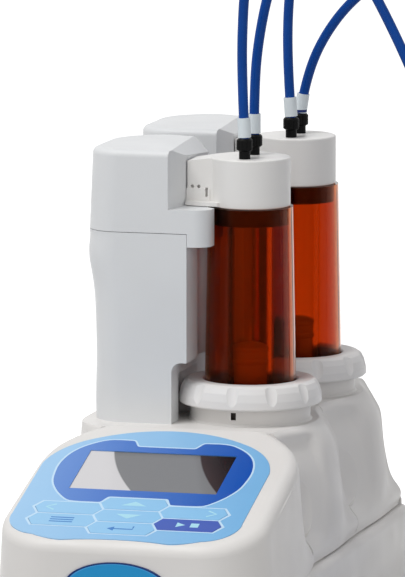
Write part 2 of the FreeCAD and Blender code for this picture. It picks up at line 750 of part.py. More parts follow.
def bracket():
    """Arm of the cover that steadies the sleeve and carries the valve head's lug; it hangs down
    beside the shell."""
    arm = box(TOWER_RIGHT - 6, BRACKET_RIGHT, TOWER_FRONT, 14.0, BRACKET_Z, HEAD_Z - 0.1)
    front = edges_where(arm, lambda b: b.XMin > BRACKET_RIGHT - 0.1 and b.ZLength > 5)
    arm = softened(arm, [edge for edge in front if edge.BoundBox.YMax < 0], 8.0)
    shell_space = box(-60, TOWER_RIGHT + 0.2, TOWER_FRONT - 5, 60, BRACKET_Z - 1, COVER_Z)
    return arm.cut(shell_space).cut(cradle(24.4, BRACKET_Z - 1, HEAD_Z + 1))


def cover_block():
    levels = (
        (COVER_Z, TOWER_SWELL_LEFT + 0.4), (225.0, TOWER_SWELL_LEFT + 1.2),
        (TOWER_TOP_Z, TOWER_SWELL_LEFT + 2.2),
    )
    block = tower_loft(levels)
    top = edges_where(block, lambda b: b.ZMin > TOWER_TOP_Z - 0.1)
    return softened(block, top, COVER_ROUNDING)


def cover_corner_cut():
    """Removes the cover's right side above the bracket, leaving the two slanted faces."""
    side = prism(
        ((-14.2, TOWER_FRONT - 5), (-14.2, TOWER_FRONT), (COVER_RIGHT, -11.3), (COVER_RIGHT, 60),
         (40, 60), (40, TOWER_FRONT - 5)),
        HEAD_Z - 0.1, TOWER_TOP_Z + 5,
    )
    return side


def cover_top_slope():
    """The cover's top falls towards the valve head."""
    slope = box(0, 60, -60, 90, 0, 40)
    slope.rotate(Vec(0, 0, 0), ALONG_Y, COVER_FALL)
    slope.rotate(Vec(0, 0, 0), UP, 4.7)
    slope.translate(Vec(-14.0, -22.8, TOWER_TOP_Z + 0.1))
    return slope


def tower_cover():
    block = cover_block().cut(cradle(27.6, COVER_Z - 1, HEAD_Z + 10))
    block = block.cut(cover_corner_cut()).cut(cover_top_slope())
    cover = fused([block, bracket()])
    inner = box(TOWER_LEFT + 5, -20, TOWER_FRONT + 6, TOWER_REAR - 14, COVER_Z - 1,
                TOWER_TOP_Z - 12)
    shaft_way = rod_along(3.6, Vec(-25, PLUG_Y, PLUG_Z), ALONG_X, 30)
    motor_seat = rod_along(VALVE_MOTOR_R, Vec(-46.05, PLUG_Y, PLUG_Z), ALONG_X, 28.1)
    return cover.cut(inner).cut(shaft_way).cut(motor_seat)


# Burette unit: lock ring, cylinder and piston drive

def lock_ring():
    """Fluted ring that clamps the sleeve's flange; three claws hook under the collar's lugs."""
    body = turned([
        (RING_BORE_R, COLLAR_TOP_Z + 0.2), (RING_R - 0.8, COLLAR_TOP_Z + 0.2),
        (RING_R, COLLAR_TOP_Z + 1.0), (RING_R - 0.2, 122.5), (RING_R - 1.2, 126.5),
        (RING_R - 2.6, 129.2), (RING_R - 4.6, 130.4), (RING_R - 6.6, RING_TOP_Z),
        (SLEEVE_FOOT_R + 1.2, RING_TOP_Z - 0.4), (SLEEVE_FOOT_R + 0.5, RING_TOP_Z - 1.0),
        (SLEEVE_FOOT_R + 0.5, 127.1), (RING_BORE_R, 127.1),
    ])
    lean = Vec(-FLUTE_LEAN, 0, 1)
    outside = RING_R + FLUTE_R * math.sqrt(1 + FLUTE_LEAN ** 2)
    foot = Vec(outside, 0, 120.0) - lean * 6
    flute = rod_along(FLUTE_R, foot, lean, 24.0)
    flutes = [spun(flute, -90.4 + 360 / RING_FLUTES * index) for index in range(RING_FLUTES)]
    claws = [sector(RING_BORE_R + 1, SPIGOT_R + 0.4, COLLAR_TOP_Z + 0.2, 121.0, angle, 24)
             for angle in lock_lug_angles(-30)]
    return moved(fused([body.cut(group(flutes))] + claws), AXIS_X)


def amber_sleeve():
    """Light-proof sleeve, slightly tapered, with a clamping flange at its foot."""
    foot = SPIGOT_TOP_Z
    body = turned([
        (SLEEVE_FOOT_R - SLEEVE_WALL, foot), (SPIGOT_R, foot), (SPIGOT_R, foot + 3.0),
        (SLEEVE_FOOT_R, foot + 3.0), (SLEEVE_TOP_R, SLEEVE_TOP_Z),
        (SLEEVE_TOP_R - SLEEVE_WALL, SLEEVE_TOP_Z),
    ])
    return moved(body, AXIS_X)


def glass_cylinder():
    return moved(ring(GLASS_R, BORE_R, GLASS_SEAT_Z, GLASS_TOP_Z), AXIS_X)


def piston():
    """Sealing piston with two lips and a low crown."""
    top = PISTON_TOP_Z
    low = top - PISTON_LENGTH
    lip = BORE_R - 0.05
    waist = BORE_R - 0.7
    body = turned([
        (0, low), (waist, low), (lip, low + 0.8), (lip, low + 2.2), (waist, low + 3.0),
        (waist, top - 4.4), (lip, top - 3.6), (lip, top - 2.0), (6.0, top - 0.6), (0, top),
    ])
    return moved(body, AXIS_X)


def piston_rod():
    """Hollow rod whose nut end runs on the lead screw."""
    top = PISTON_TOP_Z - PISTON_LENGTH
    body = rod(ROD_R, ROD_BOTTOM_Z, top)
    nut_bore = rod(SCREW_R + 0.05, ROD_BOTTOM_Z - 1, ROD_BOTTOM_Z + 15)
    hollow = rod(SCREW_R + 1.4, ROD_BOTTOM_Z + 14, SCREW_TOP_Z + 2)
    return moved(body.cut(nut_bore).cut(hollow), AXIS_X)


def lead_screw():
    thread = rod(SCREW_R, GEAR_Z + GEAR_WIDTH, SCREW_TOP_Z)
    seat = rod(SCREW_R - 1, SCREW_FOOT_Z, GEAR_Z + GEAR_WIDTH + 1)
    point = Part.makeCone(SCREW_R, SCREW_R - 1, 1.0, Vec(0, 0, SCREW_TOP_Z), UP)
    return moved(fused([thread, seat, point]), AXIS_X)


def spur_gear(teeth, bore):
    """Straight-sided teeth that keep a little play at every angle."""
    pitch_r = GEAR_MODULE * teeth / 2
    outer = pitch_r + 0.92 * GEAR_MODULE
    root = pitch_r - 1.15 * GEAR_MODULE
    angle = 2 * math.pi / teeth
    points = []
    for index in range(teeth):
        middle = index * angle
        for radius, share in ((root, -0.31), (outer, -0.115), (outer, 0.115), (root, 0.31)):
            turn = middle + share * angle
            points.append((radius * math.cos(turn), radius * math.sin(turn)))
    gear = prism(points, GEAR_Z, GEAR_Z + GEAR_WIDTH)
    return gear.cut(rod(bore, GEAR_Z - 1, GEAR_Z + GEAR_WIDTH + 1))


def screw_gear():
    """Large gear with lightening holes, keyed to the lead screw."""
    gear = spur_gear(GEAR_TEETH, SCREW_R - 1)
    hole = rod(5.0, GEAR_Z - 1, GEAR_Z + GEAR_WIDTH + 1, 17.0, 0)
    holes = [spun(hole, 30 + 60 * index) for index in range(6)]
    return moved(gear.cut(group(holes)), AXIS_X)


def motor_pinion():
    """Pinion on the motor's shaft, turned by half a tooth so that it meshes with the large gear."""
    gear = spun(spur_gear(PINION_TEETH, MOTOR_SHAFT_R), 180 / PINION_TEETH)
    shaft = rod(MOTOR_SHAFT_R, GEAR_Z, PLATE_Z + PLATE_THICK + 11)
    return moved(gear.fuse(shaft), MOTOR_X)


def drive_motor():
    """Stepping motor standing on the drive plate; its shaft is part of the pinion's body."""
    bottom = PLATE_Z + PLATE_THICK
    can = box(-MOTOR_HALF, MOTOR_HALF, -MOTOR_HALF, MOTOR_HALF, bottom, bottom + MOTOR_HEIGHT)
    can = softened(can, edges_where(can, lambda b: b.ZLength > 20), 4.0)
    boss = rod(11.0, bottom - 2.0, bottom + 1)
    shaft_way = rod(MOTOR_SHAFT_R + 0.05, bottom - 3, bottom + 12)
    return moved(fused([can, boss]).cut(shaft_way), MOTOR_X)


def drive_plate():
    """Steel plate that carries the motor; the piston rod passes through it."""
    plate = box(ROOM_LEFT, ROOM_RIGHT, -ROOM_HALF, ROOM_HALF, PLATE_Z, PLATE_Z + PLATE_THICK)
    motor_boss = rod(11.05, PLATE_Z - 1, PLATE_Z + PLATE_THICK + 1, MOTOR_X, 0)
    screw_way = rod(ROD_R + 0.1, PLATE_Z - 1, PLATE_Z + PLATE_THICK + 1, AXIS_X, 0)
    cables = rod(6.0, PLATE_Z - 1, PLATE_Z + PLATE_THICK + 1, -46, 30)
    return plate.cut(motor_boss).cut(screw_way).cut(cables)


# Burette unit: valve

def valve_head():
    """Cap with a lug to the left; the valve plug lies across it under the two hose ports."""
    cap = rod(HEAD_R, HEAD_Z, HEAD_TOP_Z, AXIS_X, 0)
    cap = softened(cap, edges_where(cap, lambda b: b.ZMin > HEAD_TOP_Z - 0.1 and b.XLength > 5), 0.9)
    lug = prism(((LUG_LEFT, LUG_FRONT), (8, LUG_FRONT - 1), (16, 20), (LUG_LEFT, LUG_REAR)),
                HEAD_Z + 0.3, HEAD_TOP_Z - 0.6)
    slope = box(-30, 0, -30, 40, 0, 12)
    slope.rotate(Vec(0, 0, 0), ALONG_Y, -7.5)
    slope.translate(Vec(4.5, 0, HEAD_TOP_Z - 0.2))
    foot = prism(((LUG_LEFT - 0.4, LUG_FRONT - 0.6), (2.4, LUG_FRONT - 1.2), (2.4, LUG_REAR),
                  (LUG_LEFT - 0.4, LUG_REAR)), HEAD_Z + 0.3, 228.8)
    flange = prism(((LUG_LEFT, LUG_FRONT - 4), (8, LUG_FRONT - 7), (18, -10), (18, 10),
                    (LUG_LEFT, LUG_REAR)), HEAD_Z + 0.3, 222.4)
    spigot = ring(19.6, GLASS_R + 2.2, 210.5, HEAD_Z + 2, AXIS_X, 0)
    head = fused([cap, lug.cut(slope), foot, flange, spigot])
    return head.cut(group(head_cuts()))


def head_cuts():
    way_length = PLUG_END_X + 0.5 - LUG_LEFT + 2
    plug_way = rod_along(PLUG_R + 0.05, Vec(LUG_LEFT - 2, PLUG_Y, PLUG_Z), ALONG_X, way_length)
    glass_seat = rod(GLASS_R + 0.05, HEAD_Z - 12, GLASS_TOP_Z, AXIS_X, 0)
    outlet = rod(PASSAGE_R, GLASS_TOP_Z - 1, PLUG_Z, AXIS_X, PLUG_Y)
    cuts = [plug_way, glass_seat, outlet]
    for y in PORT_YS:
        start = Vec(AXIS_X, y, PORT_FLOOR_Z)
        cuts.append(rod(STEM_R + 0.02, PORT_FLOOR_Z, HEAD_TOP_Z + 2, AXIS_X, y))
        cuts.append(rod_along(PASSAGE_R, start + Vec(0, 0, 0.5), Vec(AXIS_X, PLUG_Y, PLUG_Z) - start, 9.0))
    pin_hole = rod_along(0.9, Vec(-7.0, LUG_FRONT - 3, 229.8), ALONG_Y, 5.0)
    cuts.append(pin_hole)
    cuts.append(moved(pin_hole, 3.4))
    cuts.append(box(0.0, 1.4, LUG_FRONT - 4, LUG_FRONT + 1.5, 224.6, 229.4))
    return cuts


def valve_plug():
    """Cross-bored plug with a driving slot in its end."""
    length = PLUG_END_X - LUG_LEFT - 0.3
    body = rod_along(PLUG_R, Vec(LUG_LEFT + 0.3, PLUG_Y, PLUG_Z), ALONG_X, length)
    slot = box(LUG_LEFT - 1, LUG_LEFT + 3.0, PLUG_Y - 5.0, PLUG_Y + 5.0, PLUG_Z - 1.05, PLUG_Z + 1.05)
    down = rod(PASSAGE_R, PLUG_Z - PLUG_R - 1, PLUG_Z, AXIS_X, PLUG_Y)
    front_port = Vec(AXIS_X, PORT_YS[0], PORT_FLOOR_Z)
    up = rod_along(PASSAGE_R, Vec(AXIS_X, PLUG_Y, PLUG_Z), front_port - Vec(AXIS_X, PLUG_Y, PLUG_Z), 9.0)
    return body.cut(group([slot, down, up]))


def valve_drive():
    """Output shaft of the valve motor; its blade stands in the plug's slot."""
    shaft = rod_along(3.0, Vec(-29.8, PLUG_Y, PLUG_Z), ALONG_X, 29.8 + DOG_X)
    blade = box(DOG_X - 0.4, LUG_LEFT + 2.6, PLUG_Y - 3.6, PLUG_Y + 3.6, PLUG_Z - 0.95, PLUG_Z + 0.95)
    return shaft.fuse(blade)


def valve_motor():
    body = rod_along(VALVE_MOTOR_R - 0.05, Vec(-46, PLUG_Y, PLUG_Z), ALONG_X, 28.0)
    shaft_way = rod_along(3.05, Vec(-30, PLUG_Y, PLUG_Z), ALONG_X, 20.0)
    return body.cut(shaft_way)


# Hoses and their fittings

def hose_nut():
    """Threaded end fitting: stem, ribbed nut and a low collar."""
    body = turned([
        (0, PORT_FLOOR_Z + 0.2), (STEM_R, PORT_FLOOR_Z + 0.2), (STEM_R, NUT_Z),
        (NUT_R, NUT_Z + 0.9), (NUT_R, NUT_TOP_Z - 0.9), (NUT_R - 0.8, NUT_TOP_Z), (0, NUT_TOP_Z),
    ])
    groove = rod(0.5, NUT_Z - 1, NUT_TOP_Z + 1, NUT_R + 0.2, 0)
    return body.cut(group(spun(groove, 30 * index) for index in range(12)))


def port_places():
    return [(AXIS_X, unit_y(index) + y) for index in range(2) for y in PORT_YS]


def hose_nuts():
    nut = hose_nut()
    return group(moved(nut, x, y) for x, y in port_places())


def unit_y(index):
    return FIRST_AXIS_Y + PITCH * index


def hose_path(points):
    """Straight runs joined by tangent arcs as wide as the runs allow; also the arcs' radii."""
    points = [Vec(*point) for point in points]
    edges = []
    radii = []
    start = points[0]
    for before, corner, after in zip(points, points[1:], points[2:]):
        way_in = (corner - before).normalize()
        way_out = (after - corner).normalize()
        shorter = min((corner - before).Length, (after - corner).Length)
        turn = way_in.getAngle(way_out)
        setback = 0.45 * shorter
        radii.append(setback / math.tan(turn / 2))
        enter = corner - way_in * setback
        leave = corner + way_out * setback
        inward = (way_out - way_in).normalize()
        sagitta = radii[-1] * (1 / math.cos(turn / 2) - 1)
        edges.append(line(start, enter))
        edges.append(arc(enter, corner + inward * sagitta, leave))
        start = leave
    edges.append(line(start, points[-1]))
    return Part.Wire(edges), radii


def swept_tube(points, radius):
    path, radii = hose_path(points)
    first = Vec(*points[0])
    direction = (Vec(*points[1]) - first).normalize()
    profile = Part.Wire(Part.makeCircle(radius, first, direction))
    tube = path.makePipeShell([profile], True, False)
    return tube, path.Length, radii


def hose(name):
    tube, length, radii = swept_tube(HOSE_ROUTES[name], HOSE_R)
    share = tube.Volume / (math.pi * HOSE_R ** 2 * length)
    print(name, "length", round(length, 1), "volume share", round(share, 4),
          "tightest radii", [round(r, 1) for r in sorted(radii)[:3]])
    return tube


def hose_end(name):
    """Fitting on the far end of a hose, lying on the bench."""
    last = Vec(*HOSE_ROUTES[name][-1])
    way = (last - Vec(*HOSE_ROUTES[name][-2])).normalize()
    body = turned([
        (0, 0), (HOSE_LYING_Z, 0), (HOSE_LYING_Z, 8.0), (2.2, 9.0), (2.2, 13.0), (1.2, 14.0),
        (1.2, 17.0), (0, 17.0),
    ])
    body.Placement = FreeCAD.Placement(last, FreeCAD.Rotation(UP, way))
    return body


def hose_sleeves():
    """Short marking sleeves over the hoses, standing on the nuts."""
    sleeves = []
    for name in HOSE_ROUTES:
        first = Vec(*HOSE_ROUTES[name][0])
        way = (Vec(*HOSE_ROUTES[name][1]) - first).normalize()
        outer = rod_along(HOSE_R + 0.75, first + way * 0.6, way, LABEL_TOP_Z - NUT_TOP_Z)
        sleeves.append(outer.cut(rod_along(HOSE_R, first - way, way, 14)))
    return group(sleeves)


UNIT_PARTS = {
    "unit_body": unit_body,
    "tower_shell": tower_shell,
    "tower_cover": tower_cover,
    "lock_ring": lock_ring,
    "amber_sleeve": amber_sleeve,
    "glass_cylinder": glass_cylinder,
    "piston": piston,
    "piston_rod": piston_rod,
    "lead_screw": lead_screw,
    "screw_gear": screw_gear,
    "motor_pinion": motor_pinion,
    "drive_plate": drive_plate,
    "drive_motor": drive_motor,
    "valve_head": valve_head,
    "valve_plug": valve_plug,
    "valve_drive": valve_drive,
    "valve_motor": valve_motor,
}

BASE_PARTS = {
    "base_housing": base_housing,
    "base_plate": base_plate,
    "plate_screws": plate_screws,
    "feet": feet,
    "control_board": control_board,
    "keypad_overlay": keypad_overlay,
    "lcd_module": lcd_module,
    "badge_plate": badge_plate,
    "power_inlet": power_inlet,
    "hose_nuts": hose_nuts,
    "hose_sleeves": hose_sleeves,
}


def save(name, shape):
    if not shape.isValid():
        print("not valid:", name)
    shape.exportStep(os.path.join("parts", name + ".step"))


def main():
    os.makedirs("parts", exist_ok=True)
    for name, make in BASE_PARTS.items():
        save(name, make())
    for name in KEYS:
        save(name, key(name))
    for name, make in UNIT_PARTS.items():
        shape = make()
        for index in range(2):
            save(f"{name}_{index + 1}", moved(shape, 0, unit_y(index)))
    for name in HOSE_ROUTES:
        save(name, hose(name))
        save(name.replace("hose", "hose_end"), hose_end(name))


main()
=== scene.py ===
"""Looks of the two-channel digital burette, in metres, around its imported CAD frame."""
import json
import math

import bmesh
import bpy
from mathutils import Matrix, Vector


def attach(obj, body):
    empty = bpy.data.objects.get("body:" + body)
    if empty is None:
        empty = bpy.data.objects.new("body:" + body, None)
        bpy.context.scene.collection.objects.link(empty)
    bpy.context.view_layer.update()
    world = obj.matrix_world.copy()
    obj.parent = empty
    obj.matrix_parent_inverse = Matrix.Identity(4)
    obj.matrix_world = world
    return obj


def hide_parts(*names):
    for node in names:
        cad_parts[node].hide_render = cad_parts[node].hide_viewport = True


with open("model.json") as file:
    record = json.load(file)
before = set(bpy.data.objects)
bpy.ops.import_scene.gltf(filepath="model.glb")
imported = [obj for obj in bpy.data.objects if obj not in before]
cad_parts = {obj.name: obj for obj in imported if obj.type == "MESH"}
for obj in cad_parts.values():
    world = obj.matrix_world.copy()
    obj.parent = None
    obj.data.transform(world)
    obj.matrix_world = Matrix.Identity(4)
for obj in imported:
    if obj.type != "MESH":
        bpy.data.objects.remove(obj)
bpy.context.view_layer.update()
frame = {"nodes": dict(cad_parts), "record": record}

MM = 0.001

# The keypad panel: its origin is the middle of the display's front edge
PANEL = Vector((-3.9, -108.2, 89.3)) * MM
PANEL_SLOPE = math.radians(17.4)

# Prints and keys, in millimetres across, up the slope and out of the panel
FOIL_TOP = 0.2
KEY_TOP = 0.45
FILM_DEPTH = 0.1            # how far a printed film reaches below the top that it lies on
MARK_RISE = 0.04
LINE_RISE = 0.05
LINE_STEP = 0.004           # the key outlines cross, so each lies a little higher
SURROUND_RISE = 0.09
SURROUND_LINE_RISE = 0.095
KEY_PITCH = 13.1
KEY_GAP = 0.35
KEY_FLAT = 14.3             # half the length of a key's straight edge
KEY_TIP = 3.4               # how far its pointed end reaches beyond that
MIDDLE_ROW = -15.3          # the upper key of the middle column
SIDE_ROW = -22.0            # the upper keys of the side columns
SIDE_COLUMN = 32.4
KEYS = {
    "key_up": (0.0, MIDDLE_ROW),
    "key_down": (0.0, MIDDLE_ROW - KEY_PITCH),
    "key_enter": (0.0, MIDDLE_ROW - 2 * KEY_PITCH),
    "key_left": (-SIDE_COLUMN, SIDE_ROW),
    "key_right": (SIDE_COLUMN, SIDE_ROW),
    "key_menu": (-SIDE_COLUMN, SIDE_ROW - KEY_PITCH),
    "key_start": (SIDE_COLUMN, SIDE_ROW - KEY_PITCH),
}
DARK_MARKS = ("key_menu", "key_enter")

# The print round the display: its right half, and the window in it
SURROUND_RIGHT = (
    (15.2, 47.6), (18.3, 54.0), (31.0, 54.4), (39.0, 49.2), (45.2, 42.5), (49.0, 33.8),
    (50.5, 22.5), (48.7, 6.5), (44.0, -3.5), (38.0, -11.3), (34.0, -14.4), (18.2, -14.4),
    (15.5, -8.0),
)
WINDOW = [(-38.2, -0.6), (38.2, -0.6), (38.2, 41.7), (-38.2, 41.7)]
NOTCH_REACH = 19.5          # corners nearer to the middle belong to the notches
NOTCH_CUT = 0.7             # largest cut at a corner of a notch, and at any other
OPEN_CUT = 3.0

OWN_LOOKS = ("valve_head", "unit_body", "hose_sleeves")
HOUSING_COLOR = (0.775, 0.755, 0.735)
UNIT_AXES = (8.5, 103.5)    # Y of the two units' axes

# Camera fitted to the photograph, and lamps: name, place, size, power
CAMERA_PLACE = Vector((931.768, -3440.102, 687.866)) * MM
CAMERA_TARGET = Vector((-4.55, 8.5, 175.47)) * MM
FOCAL_PIXELS = 7020.0
PICTURE_HEIGHT = 577
LAMPS = (
    ("key_light", (-1.0, -1.3, 3.1), 2.0, 68.0),
    ("fill_light", (1.7, -2.7, 1.5), 1.6, 9.0),
)
LAMP_TARGET = (0, 0, 0.12)
AMBIENT = 0.42
FLOOR_TONE = 0.6
FLOOR_GLOW = 0.82
FLOOR_HALF = 4.0
FLOOR_LEVEL = -0.0003       # just under the feet

# Hoses: length in metres, and the way of the middle line in millimetres
HOSE_DIAMETER = 0.0052
LYING = 2.8                 # height of the middle line where a hose lies on the floor
HOSE_ROUTES = {
    "hose_1": (0.615, (
        (21.0, -3.5, 255.4), (20.0, -3.5, 276.0), (19.4, -3.5, 306.0), (21.2, -2.8, 340.4),
        (34.9, -1.0, 356.0), (55.2, 2.0, 360.5), (74.2, 4.0, 352.1), (94.0, 6.0, 317.6),
        (116.0, 9.0, 268.0), (131.0, 10.0, 208.0), (138.0, 9.0, 146.0), (139.0, 5.0, 88.0),
        (137.0, -5.0, 40.0), (136.0, -27.0, 9.0), (138.0, -63.0, LYING),
        (141.0, -100.0, LYING), (132.0, -134.0, LYING),
    )),
    "hose_2": (0.639, (
        (21.0, 15.5, 255.4), (21.0, 15.5, 275.0), (22.6, 15.6, 301.0), (29.0, 16.0, 333.0),
        (42.0, 17.5, 362.0), (64.0, 20.0, 383.0), (92.0, 22.5, 385.0), (113.0, 25.0, 367.0),
        (121.0, 27.0, 336.0), (125.0, 28.0, 290.0), (127.0, 28.0, 234.0), (128.0, 26.0, 176.0),
        (127.0, 22.0, 118.0), (125.0, 13.0, 66.0), (122.0, -2.0, 27.0), (118.0, -29.0, 6.0),
        (112.0, -63.0, LYING), (112.0, -97.0, LYING),
    )),
    "hose_3": (0.644, (
        (21.0, 91.5, 255.4), (19.4, 91.5, 277.0), (18.8, 91.5, 307.0), (22.0, 91.0, 341.0),
        (36.0, 90.0, 370.0), (60.0, 88.0, 389.0), (88.0, 86.0, 385.0), (106.0, 84.0, 362.0),
        (112.0, 82.0, 328.0), (114.0, 80.0, 280.0), (116.0, 76.0, 222.0), (116.0, 71.0, 164.0),
        (115.0, 64.0, 106.0), (113.0, 54.0, 58.0), (110.0, 37.0, 22.0), (106.0, 9.0, 5.0),
        (101.0, -23.0, LYING), (96.0, -54.0, LYING),
    )),
    "hose_4": (0.550, (
        (21.0, 110.5, 255.4), (23.6, 110.5, 272.0), (32.5, 111.0, 295.0), (49.0, 112.5, 317.0),
        (74.0, 114.5, 334.0), (103.0, 116.0, 336.0), (127.0, 117.0, 319.0), (139.0, 117.0, 288.0),
        (145.0, 116.0, 240.0), (149.0, 114.0, 184.0), (152.0, 110.0, 128.0), (153.0, 103.0, 76.0),
        (153.0, 89.0, 34.0), (152.0, 62.0, 8.0), (150.0, 27.0, LYING),
        (153.0, -6.0, LYING),
    )),
}


# Camera

def make_camera():
    data = bpy.data.cameras.new("camera")
    camera = bpy.data.objects.new("camera", data)
    bpy.context.scene.collection.objects.link(camera)
    camera.location = CAMERA_PLACE
    camera.rotation_mode = "QUATERNION"
    camera.rotation_quaternion = (CAMERA_TARGET - CAMERA_PLACE).to_track_quat("-Z", "Y")
    data.sensor_width = 36.0
    data.lens = FOCAL_PIXELS / PICTURE_HEIGHT * data.sensor_width
    data.clip_start = 0.1
    data.clip_end = 50.0
    bpy.context.scene.camera = camera


# Node helpers

class Material:
    """A node material under construction; its principled shader is self.shader."""

    def __init__(self, name, color, roughness, **inputs):
        self.material = bpy.data.materials.new(name)
        self.material.use_nodes = True
        self.nodes = self.material.node_tree.nodes
        self.links = self.material.node_tree.links
        self.shader = self.nodes["Principled BSDF"]
        self.shader.inputs["Base Color"].default_value = (*color, 1)
        self.shader.inputs["Roughness"].default_value = roughness
        for key, value in inputs.items():
            self.shader.inputs[key.replace("_", " ")].default_value = value
        self.position = self.nodes.new("ShaderNodeTexCoord").outputs["Object"]

    def link(self, a, b):
        self.links.new(a, b)

    def noise(self, scale, detail=3.0, stretch=None):
        source = self.position
        if stretch:
            mapping = self.nodes.new("ShaderNodeMapping")
            mapping.inputs["Scale"].default_value = stretch
            self.link(source, mapping.inputs["Vector"])
            source = mapping.outputs["Vector"]
        node = self.nodes.new("ShaderNodeTexNoise")
        node.inputs["Scale"].default_value = scale
        node.inputs["Detail"].default_value = detail
        self.link(source, node.inputs["Vector"])
        return node.outputs["Fac"]

    def math(self, operation, a, b=0.0):
        node = self.nodes.new("ShaderNodeMath")
        node.operation = operation
        for socket, value in zip(node.inputs, (a, b)):
            if isinstance(value, (int, float)):
                socket.default_value = value
            else:
                self.link(value, socket)
        return node.outputs[0]

    def near(self, value, middle, reach):
        """One where the value is within reach of the middle, and nought elsewhere."""
        away = self.math("ABSOLUTE", self.math("SUBTRACT", value, middle))
        return self.math("LESS_THAN", away, reach)

    def spread(self, value, low, high, to_low, to_high):
        """The value's range from low to high carried to the range from to_low to to_high."""
        node = self.nodes.new("ShaderNodeMapRange")
        for socket, number in zip(list(node.inputs)[1:5], (low, high, to_low, to_high)):
            socket.default_value = number
        self.link(value, node.inputs[0])
        return node.outputs[0]

    def mix(self, factor, a, b):
        node = self.nodes.new("ShaderNodeMix")
        node.data_type = "RGBA"
        self.link(factor, node.inputs["Factor"])
        for socket, value in ((node.inputs[6], a), (node.inputs[7], b)):
            if isinstance(value, tuple):
                socket.default_value = (*value, 1)
            else:
                self.link(value, socket)
        return node.outputs[2]

    def ramp(self, value, stops):
        node = self.nodes.new("ShaderNodeValToRGB")
        elements = node.color_ramp.elements
        for index, (place, color) in enumerate(stops):
            element = elements[index] if index < 2 else elements.new(place)
            element.position = place
            element.color = (*color, 1)
        self.link(value, node.inputs[0])
        return node.outputs[0]

    def axis(self, name):
        node = self.nodes.new("ShaderNodeSeparateXYZ")
        self.link(self.position, node.inputs[0])
        return node.outputs[name]

    def bump(self, height, strength, distance):
        node = self.nodes.new("ShaderNodeBump")
        node.inputs["Strength"].default_value = strength
        node.inputs["Distance"].default_value = distance
        self.link(height, node.inputs["Height"])
        self.link(node.outputs[0], self.shader.inputs["Normal"])
        return self

    def paint(self, color):
        self.link(color, self.shader.inputs["Base Color"])
        return self

    def rough(self, value):
        self.link(value, self.shader.inputs["Roughness"])
        return self


def shade(color, factor):
    """The colour made lighter or darker."""
    return tuple(min(1.0, c * factor) for c in color)


def moulded(name, color, roughness=0.42, grain=900.0, depth=0.25, vary=0.03, **inputs):
    """Moulded plastic: faint colour drift, handling marks in the gloss and a fine surface grain."""
    inputs.setdefault("Specular_IOR_Level", 0.3)
    m = Material(name, color, roughness, **inputs)
    drift = m.noise(9.0, 4.0)
    m.paint(m.mix(m.spread(drift, 0.35, 0.65, 0, 1),
                  shade(color, 1 - vary), shade(color, 1 + vary)))
    marks = m.noise(55.0, 5.0)
    m.rough(m.spread(marks, 0.3, 0.7, roughness - 0.07, roughness + 0.08))
    return m.bump(m.noise(grain, 2.0), depth, 0.00008).material


def brushed(name, color, roughness, stretch):
    """Turned or drawn metal with fine lines."""
    m = Material(name, color, roughness, Metallic=1.0)
    lines = m.noise(160.0, 3.0, stretch)
    m.paint(m.mix(lines, shade(color, 0.82), shade(color, 1.1)))
    m.rough(m.spread(lines, 0.3, 0.7, roughness - 0.1, roughness + 0.12))
    return m.bump(lines, 0.15, 0.00006).material


def amber_material():
    """Coloured clear plastic with faint draw lines along its length."""
    m = Material("amber", (0.55, 0.13, 0.008), 0.06, Transmission_Weight=1.0, IOR=1.47,
                 Specular_Tint=(0.22, 0.06, 0.02, 1))
    streaks = m.noise(120.0, 3.0, (1.0, 1.0, 0.03))
    m.paint(m.mix(streaks, (0.50, 0.105, 0.006), (0.60, 0.16, 0.012)))
    m.rough(m.spread(m.noise(35.0), 0.3, 0.7, 0.03, 0.11))
    return m.bump(streaks, 0.12, 0.0001).material


def glass_material():
    """Clear glass with a faint draw along its length."""
    m = Material("clear_glass", (0.95, 0.97, 0.97), 0.02, Transmission_Weight=1.0, IOR=1.47)
    m.rough(m.spread(m.noise(60.0), 0.3, 0.7, 0.0, 0.05))
    return m.bump(m.noise(30.0, 2.0, (1, 1, 0.2)), 0.05, 0.0001).material


def unit_material():
    """The units' moulding, as the housing; the locking mark's slot in the collar is painted near
    black inside as painted shade.
    """
    slot_x, slot_width, slot_z, slot_height = 20.15 * MM, 1.45 * MM, 114.6 * MM, 2.0 * MM
    slot_behind, slot_depth = 29.4, 1.35 * MM
    m = Material("unit_body", HOUSING_COLOR, 0.42, Specular_IOR_Level=0.3)
    tone = m.mix(m.spread(m.noise(9.0, 4.0), 0.35, 0.65, 0, 1),
                 shade(HOUSING_COLOR, 0.97), shade(HOUSING_COLOR, 1.03))
    face = m.math("MULTIPLY", m.near(m.axis("X"), slot_x, slot_width),
                  m.near(m.axis("Z"), slot_z, slot_height))
    front, rear = (m.near(m.axis("Y"), (axis - slot_behind) * MM, slot_depth)
                   for axis in UNIT_AXES)
    # painted shade: the inside of the locking mark's slot is painted near black
    slot_painted_shade = m.math("MULTIPLY", face, m.math("MAXIMUM", front, rear))
    m.paint(m.mix(slot_painted_shade, tone, (0.03, 0.02, 0.015)))
    m.rough(m.spread(m.noise(55.0, 5.0), 0.3, 0.7, 0.35, 0.5))
    return m.bump(m.noise(900.0, 2.0), 0.25, 0.00008).material


def hose_material():
    """Blue flexible tube, dulled by handling."""
    color = (0.002, 0.055, 0.29)
    m = Material("hose", color, 0.28, Specular_IOR_Level=0.12)
    m.paint(m.mix(m.noise(45.0, 4.0), shade(color, 0.8), shade(color, 1.25)))
    m.rough(m.spread(m.noise(150.0), 0.3, 0.7, 0.2, 0.38))
    return m.bump(m.noise(300.0, 2.0), 0.1, 0.00005).material


